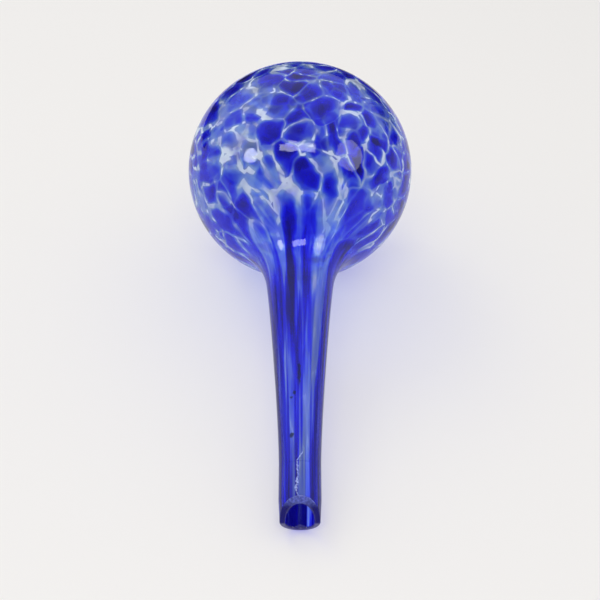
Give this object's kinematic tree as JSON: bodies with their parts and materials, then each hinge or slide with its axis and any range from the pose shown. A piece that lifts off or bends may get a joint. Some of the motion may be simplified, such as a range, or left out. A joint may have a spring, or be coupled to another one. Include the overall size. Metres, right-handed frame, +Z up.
{
  "type": "watering globe",
  "caption": "Hand-blown glass watering globe: a hollow bulb of mottled cobalt glass on a long tapering hollow stem that is pushed into a pot's soil and lets water out slowly.",
  "frame": {"origin": "on the surface that the globe lies on, under the middle of its box", "axes": "+Z up, -Y the way the stem points; the stem slopes down to the surface by about 15 degrees"},
  "size_m": [0.076, 0.1569, 0.0757],
  "materials": {
    "clear_glass": "fire-polished, smooth",
    "cobalt_frit": "melted on, smooth"
  },
  "bodies": {
    "root": {"clear_glass_bulb": "clear_glass", "clear_glass_stem": "clear_glass", "crown_frit_chips": "cobalt_frit", "shoulder_frit_chips": "cobalt_frit", "belt_frit_chips": "cobalt_frit", "underside_frit_chips": "cobalt_frit", "neck_frit_chips": "cobalt_frit", "stem_frit_streaks": "cobalt_frit"}
  },
  "joints": []
}
